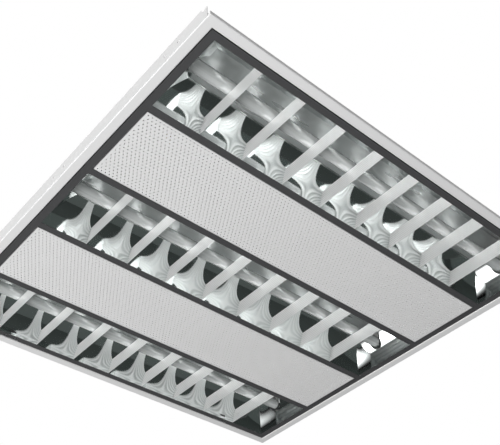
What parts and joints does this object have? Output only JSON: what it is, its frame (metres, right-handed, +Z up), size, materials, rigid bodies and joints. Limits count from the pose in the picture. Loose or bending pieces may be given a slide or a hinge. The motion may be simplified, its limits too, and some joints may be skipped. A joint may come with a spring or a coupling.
{
  "type": "recessed troffer light",
  "caption": "Square recessed ceiling light with linear lamps behind mirror louvres with cross blades and perforated panels between them, on a tray that hinges down.",
  "frame": {"origin": "middle of the flange's room-side face, at the bottom centre of the light", "axes": "+X along the lamps to the right, +Y across the rows to the hinge side, +Z up into the ceiling"},
  "size_m": [0.597, 0.597, 0.058],
  "materials": {
    "white_powder_coat": "satin white powder coat",
    "gear_case": "white painted steel case",
    "perforated_white": "matte light grey-white paint on perforated steel",
    "mirror_aluminium": "bright anodised aluminium mirror",
    "satin_aluminium": "satin anodised aluminium with rolled ribs",
    "dark_grey_paint": "satin dark grey paint",
    "holder_white": "moulded white plastic",
    "lamp_glass": "phosphor-coated white glass",
    "cap_metal": "bright pressed aluminium",
    "zinc_steel": "zinc plated steel",
    "brass": "plain brass",
    "grommet_rubber": "matte black rubber"
  },
  "bodies": {
    "housing": {"housing_tray": "white_powder_coat", "end_plate_left": "white_powder_coat", "end_plate_right": "white_powder_coat", "lamp_reflector_front": "mirror_aluminium", "lamp_reflector_middle": "mirror_aluminium", "lamp_reflector_rear": "mirror_aluminium", "lampholder_front_left": "holder_white", "lampholder_front_right": "holder_white", "lampholder_middle_left": "holder_white", "lampholder_middle_right": "holder_white", "lampholder_rear_left": "holder_white", "lampholder_rear_right": "holder_white", "control_gear": "gear_case", "gear_screws": "zinc_steel", "terminal_block": "holder_white", "cable_grommet": "grommet_rubber", "earth_stud": "brass", "end_plate_rivets": "zinc_steel", "hinge_bracket_left": "zinc_steel", "hinge_bracket_right": "zinc_steel", "hinge_pin_left": "zinc_steel", "hinge_pin_right": "zinc_steel", "latch_spring_left": "zinc_steel", "latch_spring_right": "zinc_steel"},
    "louvre": {"louvre_tray": "dark_grey_paint", "perforated_panel_front": "perforated_white", "perforated_panel_rear": "perforated_white", "side_mirror_front_outer": "mirror_aluminium", "side_mirror_front_inner": "mirror_aluminium", "side_mirror_middle_front": "mirror_aluminium", "side_mirror_middle_rear": "mirror_aluminium", "side_mirror_rear_inner": "mirror_aluminium", "side_mirror_rear_outer": "mirror_aluminium", "end_mirror_front_left": "mirror_aluminium", "end_mirror_front_right": "mirror_aluminium", "end_mirror_middle_left": "mirror_aluminium", "end_mirror_middle_right": "mirror_aluminium", "end_mirror_rear_left": "mirror_aluminium", "end_mirror_rear_right": "mirror_aluminium", "cross_blades_front": "satin_aluminium", "cross_blades_middle": "satin_aluminium", "cross_blades_rear": "satin_aluminium"},
    "lamp_front": {"lamp_tube_front": "lamp_glass", "lamp_cap_front_left": "cap_metal", "lamp_cap_front_right": "cap_metal", "rotor_front_left": "holder_white", "rotor_front_right": "holder_white"},
    "lamp_middle": {"lamp_tube_middle": "lamp_glass", "lamp_cap_middle_left": "cap_metal", "lamp_cap_middle_right": "cap_metal", "rotor_middle_left": "holder_white", "rotor_middle_right": "holder_white"},
    "lamp_rear": {"lamp_tube_rear": "lamp_glass", "lamp_cap_rear_left": "cap_metal", "lamp_cap_rear_right": "cap_metal", "rotor_rear_left": "holder_white", "rotor_rear_right": "holder_white"}
  },
  "joints": [
    {"name": "louvre_swing", "type": "hinge", "parent": "housing", "child": "louvre", "pos_m": [0, 0.2824, 0.0029], "axis": [1, 0, 0], "range_deg": [0, 90]},
    {"name": "lamp_turn_front", "type": "hinge", "parent": "housing", "child": "lamp_front", "pos_m": [0, -0.2256, 0.03], "axis": [1, 0, 0], "range_deg": [0, 90]},
    {"name": "lamp_turn_middle", "type": "hinge", "parent": "housing", "child": "lamp_middle", "pos_m": [0, 0, 0.03], "axis": [1, 0, 0], "range_deg": [0, 90]},
    {"name": "lamp_turn_rear", "type": "hinge", "parent": "housing", "child": "lamp_rear", "pos_m": [0, 0.2256, 0.03], "axis": [1, 0, 0], "range_deg": [0, 90]}
  ]
}
